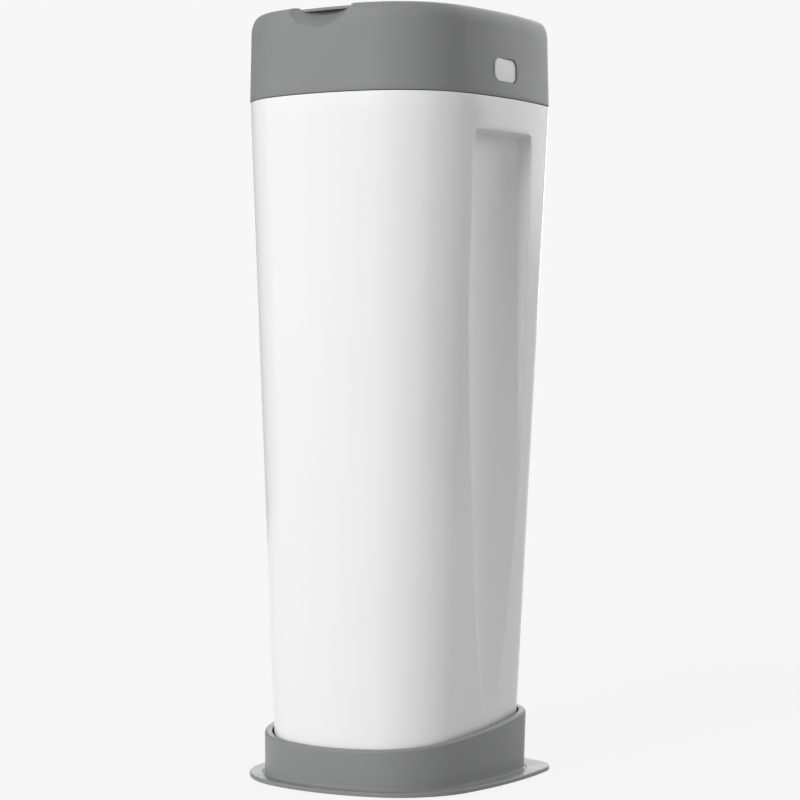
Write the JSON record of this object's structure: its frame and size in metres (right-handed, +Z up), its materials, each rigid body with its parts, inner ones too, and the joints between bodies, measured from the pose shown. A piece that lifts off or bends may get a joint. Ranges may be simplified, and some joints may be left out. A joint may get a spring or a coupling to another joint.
{
  "type": "nappy bin",
  "caption": "Tall nappy bin: tapered tub with hand grips in a slant-rimmed base, hinged head with side buttons, flip lid, film cassette and sprung clamp.",
  "frame": {"origin": "middle of the footprint at floor level, under the foot pads", "axes": "+Z up along the tub, -Y towards the front with the finger scoop, +X to the right side as seen from the front"},
  "size_m": [0.2382, 0.2402, 0.67],
  "materials": {
    "housing_grey": "fine moulded satin",
    "tub_white": "glossy moulded",
    "fitting_white": "satin moulded",
    "button_grey": "satin moulded",
    "clamp_grey": "satin moulded",
    "spring_steel": "bright wire and pins",
    "pad_rubber": "soft matt",
    "film": "thin pleated film"
  },
  "bodies": {
    "base": {"base_tray": "housing_grey", "foot_pads": "pad_rubber"},
    "tub": {"tub_shell": "tub_white", "tub_collar": "fitting_white", "clamp_screws": "spring_steel", "clamp_frame": "clamp_grey", "jaw_pins": "spring_steel", "jaw_springs": "spring_steel", "cassette_tray": "clamp_grey", "cassette_cover": "fitting_white", "film_pack": "film", "cutter_body": "housing_grey", "cutter_blade": "spring_steel", "head_hinge_pin": "spring_steel"},
    "head": {"head_housing": "housing_grey", "head_liner": "fitting_white", "liner_screws": "spring_steel", "left_button_spring": "spring_steel", "right_button_spring": "spring_steel", "lid_hinge_pins": "spring_steel"},
    "lid": {"lid_outer": "housing_grey", "lid_inner": "fitting_white", "lid_seal": "pad_rubber"},
    "left_button_body": {"left_button": "button_grey", "left_latch": "clamp_grey"},
    "right_button_body": {"right_button": "button_grey", "right_latch": "clamp_grey"},
    "left_jaw_body": {"left_jaw": "clamp_grey"},
    "right_jaw_body": {"right_jaw": "clamp_grey"}
  },
  "joints": [
    {"name": "tub_lift", "type": "slide", "parent": "base", "child": "tub", "axis": [0, 0, 1], "range_m": [0, 0.12]},
    {"name": "head_hinge", "type": "hinge", "parent": "tub", "child": "head", "pos_m": [0, 0.11077, 0.6007], "axis": [-1, 0, 0], "range_deg": [0, 75]},
    {"name": "lid_hinge", "type": "hinge", "parent": "head", "child": "lid", "pos_m": [0, 0.08577, 0.662], "axis": [-1, 0, 0], "range_deg": [0, 100]},
    {"name": "left_button_press", "type": "slide", "parent": "head", "child": "left_button_body", "axis": [1, 0, 0], "range_m": [0, 0.0036], "stiffness_N_per_m": 300, "springref_m": -0.003, "deforming": ["left_button_spring"]},
    {"name": "right_button_press", "type": "slide", "parent": "head", "child": "right_button_body", "axis": [-1, 0, 0], "range_m": [0, 0.0036], "stiffness_N_per_m": 300, "springref_m": -0.003, "deforming": ["right_button_spring"]},
    {"name": "left_jaw_hinge", "type": "hinge", "parent": "tub", "child": "left_jaw_body", "pos_m": [-0.045, 0, 0.5458], "axis": [0, 1, 0], "range_deg": [0, 70], "stiffness_Nm_per_rad": 0.06, "springref_deg": -28.65},
    {"name": "right_jaw_hinge", "type": "hinge", "parent": "tub", "child": "right_jaw_body", "pos_m": [0.045, 0, 0.5458], "axis": [0, -1, 0], "range_deg": [0, 70], "stiffness_Nm_per_rad": 0.06, "springref_deg": -28.65}
  ]
}
